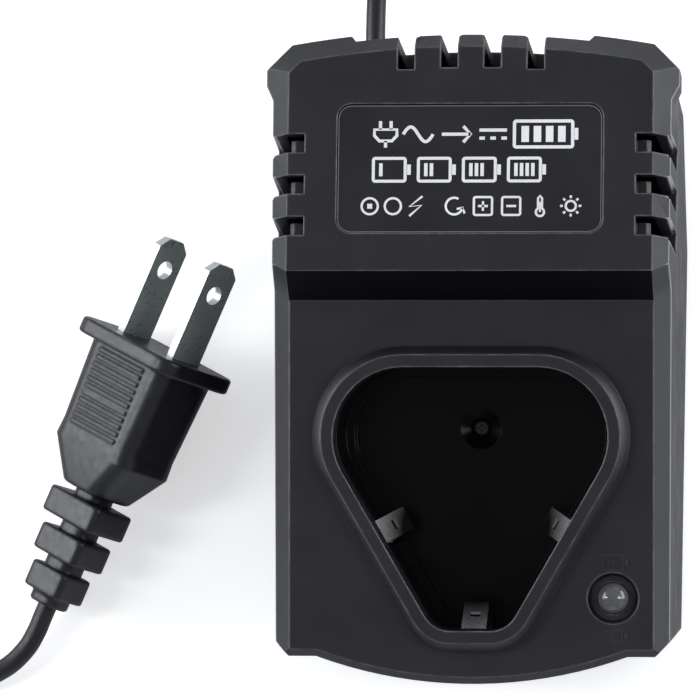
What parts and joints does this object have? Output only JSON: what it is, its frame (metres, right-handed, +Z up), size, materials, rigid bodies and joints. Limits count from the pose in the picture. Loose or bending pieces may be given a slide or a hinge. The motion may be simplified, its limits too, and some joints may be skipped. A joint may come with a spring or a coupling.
{
  "type": "power tool battery charger",
  "caption": "Desk charger with a triangular battery socket in a sloping deck, a raised vented rear and a coiled mains cord with a flat-blade plug.",
  "frame": {"origin": "on the table under the middle of the charger, between its front and rear and between its sides", "axes": "+X to the right seen from the front, +Y to the rear where the cord leaves, +Z up"},
  "size_m": [0.1347, 0.1704, 0.043],
  "materials": {
    "housing_plastic": "fine spark texture, charcoal",
    "socket_plastic": "smooth, black",
    "contact_metal": "nickel plated",
    "lamp_lens": "milky, unlit",
    "label_film": "satin film",
    "board_laminate": "solder mask",
    "ferrite": "matt",
    "winding_tape": "polyester tape",
    "capacitor_sleeve": "shrunk sleeve",
    "package_epoxy": "moulded",
    "fuse_body": "lacquered",
    "capacitor_disc": "dipped",
    "lead_brown": "insulation",
    "lead_red": "insulation",
    "lead_black": "insulation",
    "lead_white": "insulation",
    "screw_steel": "zinc plated",
    "foot_rubber": "matt",
    "cord_jacket": "satin flexible jacket",
    "blade_nickel": "nickel plated"
  },
  "bodies": {
    "charger": {"top_housing": "housing_plastic", "bottom_housing": "housing_plastic", "battery_socket": "socket_plastic", "status_lamp": "lamp_lens", "rating_label": "label_film", "circuit_board": "board_laminate", "transformer_core": "ferrite", "transformer_winding": "winding_tape", "input_capacitor": "capacitor_sleeve", "output_capacitor": "capacitor_sleeve", "rectifier_diodes": "package_epoxy", "output_diode": "package_epoxy", "input_fuse": "fuse_body", "filter_choke": "ferrite", "switching_transistor": "package_epoxy", "control_chip": "package_epoxy", "optocoupler": "package_epoxy", "safety_capacitor": "capacitor_disc", "mains_leads": "lead_brown", "positive_lead": "lead_red", "negative_lead": "lead_black", "sense_lead": "lead_white", "lamp_leads": "lead_white", "housing_screws": "screw_steel", "board_screws": "screw_steel", "socket_screw": "screw_steel", "rubber_feet": "foot_rubber", "cord_bushing": "cord_jacket", "cord_to_coil": "cord_jacket", "cord_coil": "cord_jacket", "cord_to_plug": "cord_jacket", "plug_body": "cord_jacket", "plug_blades": "blade_nickel"},
    "positive_leaf": {"contact_positive": "contact_metal"},
    "negative_leaf": {"contact_negative": "contact_metal"},
    "sense_leaf": {"contact_sense": "contact_metal"}
  },
  "joints": [
    {"name": "positive_leaf_bend", "type": "hinge", "parent": "charger", "child": "positive_leaf", "pos_m": [-0.0155, -0.02484, 0.00999], "axis": [0.5, -0.8554, -0.1355], "range_deg": [0, 8], "stiffness_Nm_per_rad": 0.1},
    {"name": "negative_leaf_bend", "type": "hinge", "parent": "charger", "child": "negative_leaf", "pos_m": [0.0155, -0.02484, 0.00999], "axis": [0.5, 0.8554, 0.1355], "range_deg": [0, 8], "stiffness_Nm_per_rad": 0.1},
    {"name": "sense_leaf_bend", "type": "hinge", "parent": "charger", "child": "sense_leaf", "pos_m": [0, -0.04059, 0.00749], "axis": [1, 0, 0], "range_deg": [0, 8], "stiffness_Nm_per_rad": 0.1}
  ]
}
